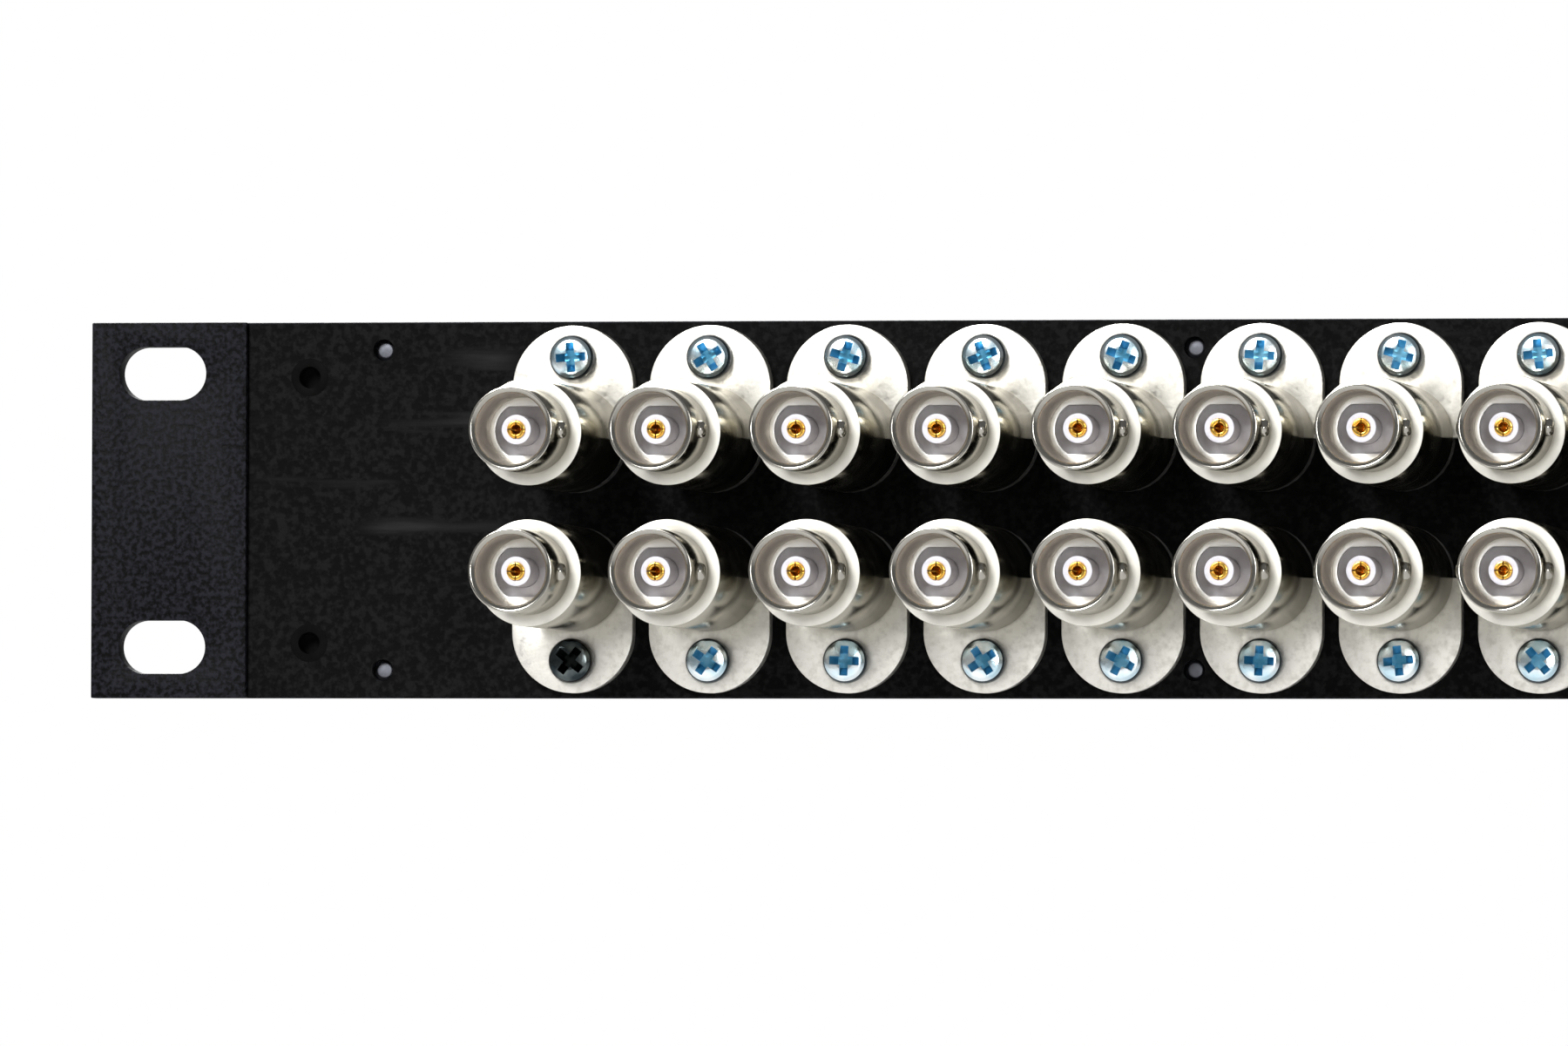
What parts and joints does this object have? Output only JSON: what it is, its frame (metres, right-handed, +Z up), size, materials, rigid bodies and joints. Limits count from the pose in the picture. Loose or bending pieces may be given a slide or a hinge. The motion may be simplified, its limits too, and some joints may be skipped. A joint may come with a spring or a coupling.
{
  "type": "coaxial patch bay",
  "caption": "One-unit rack panel with two rows of straight-through coaxial jacks: round patch sockets in front, BNC connectors behind, and slide-out label strips.",
  "frame": {"origin": "centre of the panel, on the rear face of the ears, which meets the rack rails", "axes": "+X along the panel, to the right seen from the plug side; +Y backwards, the way the BNC connectors point; +Z up"},
  "size_m": [0.4826, 0.0505, 0.0436],
  "materials": {
    "black_coated_panel": "fine-textured black powder coat on aluminium",
    "black_board": "smooth black insulating sheet with light scuffs",
    "dark_zinc_insert": "dark zinc",
    "grey_rivet": "plain aluminium",
    "black_holder": "matt moulded black",
    "white_card": "uncoated white card",
    "clear_cover": "clear polycarbonate",
    "satin_nickel": "satin nickel plate over turned brass",
    "bright_nickel": "bright nickel plate",
    "blue_zinc_screw": "blue zinc plate",
    "nickel_shell": "nickel plate",
    "bright_contact": "bright plate",
    "grey_insulator": "moulded grey",
    "white_insulator": "white PTFE",
    "gold": "gold plate",
    "spring_bronze": "plated spring bronze",
    "black_nylon": "black nylon",
    "natural_nylon": "natural nylon"
  },
  "bodies": {
    "panel": {"front_panel": "black_coated_panel", "insulating_board": "black_board", "cable_bar_inserts": "dark_zinc_insert", "label_holder_rivets": "grey_rivet", "top_label_holder": "black_holder", "bottom_label_holder": "black_holder", "top_jack_barrels": "satin_nickel", "bottom_jack_barrels": "satin_nickel", "top_jack_flanges": "bright_nickel", "bottom_jack_flanges": "bright_nickel", "top_flange_screws": "blue_zinc_screw", "bottom_flange_screws": "blue_zinc_screw", "top_bnc_shells": "nickel_shell", "bottom_bnc_shells": "nickel_shell", "top_outer_contacts": "bright_contact", "bottom_outer_contacts": "bright_contact", "top_support_beads": "grey_insulator", "bottom_support_beads": "grey_insulator", "top_contact_sleeves": "white_insulator", "bottom_contact_sleeves": "white_insulator", "top_rear_contacts": "gold", "bottom_rear_contacts": "gold", "top_centre_conductors": "gold", "bottom_centre_conductors": "gold", "top_front_insulators": "white_insulator", "bottom_front_insulators": "white_insulator", "top_front_contacts": "gold", "bottom_front_contacts": "gold", "top_ground_springs": "spring_bronze", "bottom_ground_springs": "spring_bronze", "top_panel_bushes": "black_nylon", "bottom_panel_bushes": "black_nylon", "top_screw_bushes": "natural_nylon", "bottom_screw_bushes": "natural_nylon"},
    "top_label_strip": {"top_label_card": "white_card", "top_label_cover": "clear_cover"},
    "bottom_label_strip": {"bottom_label_card": "white_card", "bottom_label_cover": "clear_cover"}
  },
  "joints": [
    {"name": "top_label_slide", "type": "slide", "parent": "panel", "child": "top_label_strip", "axis": [1, 0, 0], "range_m": [0, 0.424]},
    {"name": "bottom_label_slide", "type": "slide", "parent": "panel", "child": "bottom_label_strip", "axis": [1, 0, 0], "range_m": [0, 0.424]}
  ]
}
